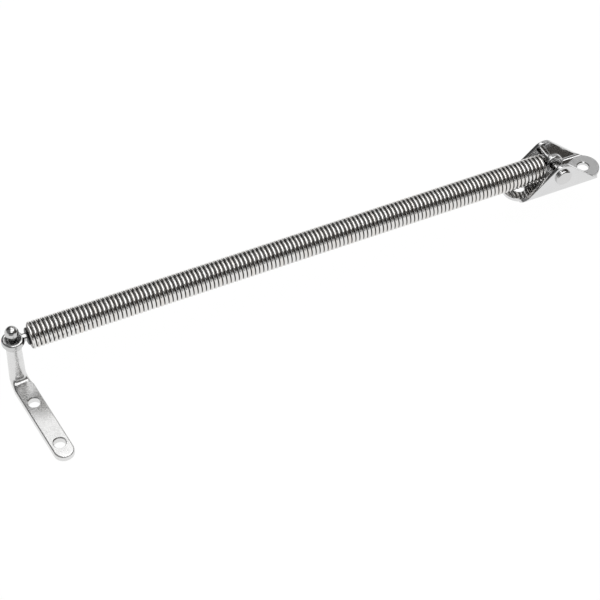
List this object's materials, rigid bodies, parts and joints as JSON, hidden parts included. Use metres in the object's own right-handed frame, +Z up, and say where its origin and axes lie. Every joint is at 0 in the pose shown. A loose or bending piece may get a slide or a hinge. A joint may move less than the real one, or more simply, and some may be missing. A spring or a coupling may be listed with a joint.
{
  "type": "skylight stay",
  "caption": "Close-coiled spring stay for a skylight or hatch, with a ball-stud foot bracket at one end and a pinned, folded hatch bracket at the other.",
  "frame": {"origin": "midway between the foot strap's two screw holes, on the strap's underside", "axes": "+X along the spring from the foot to the hatch bracket, +Z up out of the foot's screw face"},
  "size_m": [0.2393, 0.0507, 0.0278],
  "materials": {
    "foot_steel": "polished stainless steel",
    "stud_steel": "polished stainless steel",
    "eye_steel": "polished stainless steel",
    "plug_steel": "turned steel, blackened",
    "spring_wire": "bright drawn stainless wire",
    "bracket_steel": "polished stainless sheet"
  },
  "bodies": {
    "foot": {"foot_bracket": "foot_steel", "ball_stud": "stud_steel", "stud_washer": "stud_steel"},
    "lower_eye": {"lower_eye": "eye_steel", "lower_eye_nut": "eye_steel"},
    "lower_plug": {"lower_plug": "plug_steel"},
    "spring": {"main_spring": "spring_wire"},
    "upper_plug": {"upper_plug": "plug_steel"},
    "upper_eye": {"upper_eye": "eye_steel", "upper_eye_nut": "eye_steel"},
    "hatch": {"hatch_bracket": "bracket_steel", "pivot_pin": "bracket_steel"}
  },
  "joints": [
    {"name": "stud_turn", "type": "hinge", "parent": "foot", "child": "lower_eye", "pos_m": [-0.00191, 0.02423, 0.021], "axis": [0, 0, 1], "continuous": true},
    {"name": "lower_swivel", "type": "hinge", "parent": "lower_eye", "child": "lower_plug", "pos_m": [-0.00191, 0.02423, 0.021], "axis": [1, 0, 0], "continuous": true},
    {"name": "lower_bend", "type": "hinge", "parent": "lower_plug", "child": "spring", "pos_m": [0.05492, 0.02423, 0.021], "axis": [0, 1, 0], "range_deg": [-75, 75], "stiffness_Nm_per_rad": 4, "deforming": ["main_spring"]},
    {"name": "upper_bend", "type": "hinge", "parent": "spring", "child": "upper_plug", "pos_m": [0.15797, 0.02423, 0.021], "axis": [0, 1, 0], "range_deg": [-75, 75], "stiffness_Nm_per_rad": 4, "deforming": ["main_spring"]},
    {"name": "upper_swivel", "type": "hinge", "parent": "upper_plug", "child": "upper_eye", "pos_m": [0.21309, 0.02423, 0.021], "axis": [1, 0, 0], "continuous": true},
    {"name": "hatch_pivot", "type": "hinge", "parent": "upper_eye", "child": "hatch", "pos_m": [0.21309, 0.02423, 0.021], "axis": [0, 1, 0], "range_deg": [-180, 3]}
  ],
  "couplings": [
    {"joint": "upper_bend", "follows": "lower_bend", "ratio": 1}
  ]
}
